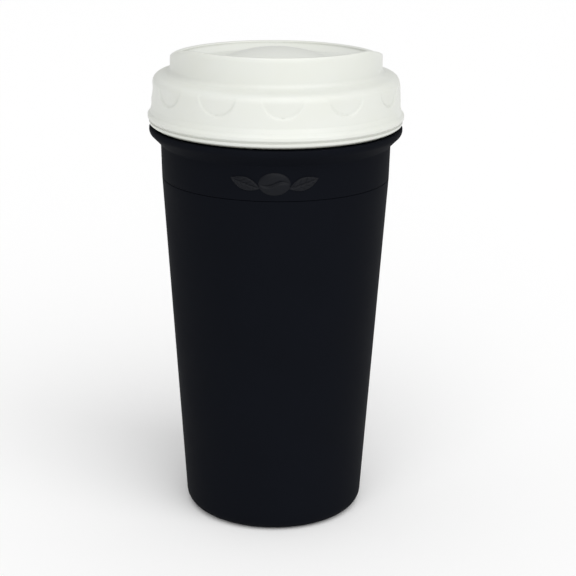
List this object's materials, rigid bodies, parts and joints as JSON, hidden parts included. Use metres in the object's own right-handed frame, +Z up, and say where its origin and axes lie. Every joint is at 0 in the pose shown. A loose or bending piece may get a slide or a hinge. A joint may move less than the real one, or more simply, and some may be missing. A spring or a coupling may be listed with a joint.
{
  "type": "travel coffee cup",
  "caption": "Tapered double-wall travel cup with a screw lid, raised drinking lip and a domed dial that turns to open the sip hole.",
  "frame": {"origin": "centre of the base, on the surface the cup stands on", "axes": "+Z up along the cup's axis; -Y is the front, with the emblem and the drinking lip; +X is to the right seen from the front"},
  "size_m": [0.092, 0.092, 0.175],
  "materials": {
    "black_plastic": "fine matte moulding",
    "liner_plastic": "satin moulding",
    "white_plastic": "satin gloss moulding",
    "silicone": "soft translucent silicone",
    "clip_plastic": "satin acetal"
  },
  "bodies": {
    "cup": {"outer_shell": "black_plastic", "collar": "black_plastic", "inner_liner": "liner_plastic"},
    "gasket": {"lid_gasket": "silicone"},
    "lid": {"lid_shell": "white_plastic", "stem_o_ring": "silicone"},
    "dial": {"sip_dial": "white_plastic", "sip_seal": "silicone", "vent_seal": "silicone", "stem_clip": "clip_plastic"}
  },
  "joints": [
    {"name": "lid_rise", "type": "slide", "parent": "cup", "child": "gasket", "axis": [0, 0, 1], "range_m": [0, 0.06]},
    {"name": "lid_turn", "type": "hinge", "parent": "gasket", "child": "lid", "pos_m": [0, 0, 0.16], "axis": [0, 0, 1], "range_deg": [0, 1080]},
    {"name": "dial_turn", "type": "hinge", "parent": "lid", "child": "dial", "pos_m": [0, 0, 0.17], "axis": [0, 0, 1], "range_deg": [0, 60]}
  ],
  "couplings": [
    {"joint": "lid_turn", "follows": "lid_rise", "rad_per_m": 314.16}
  ]
}
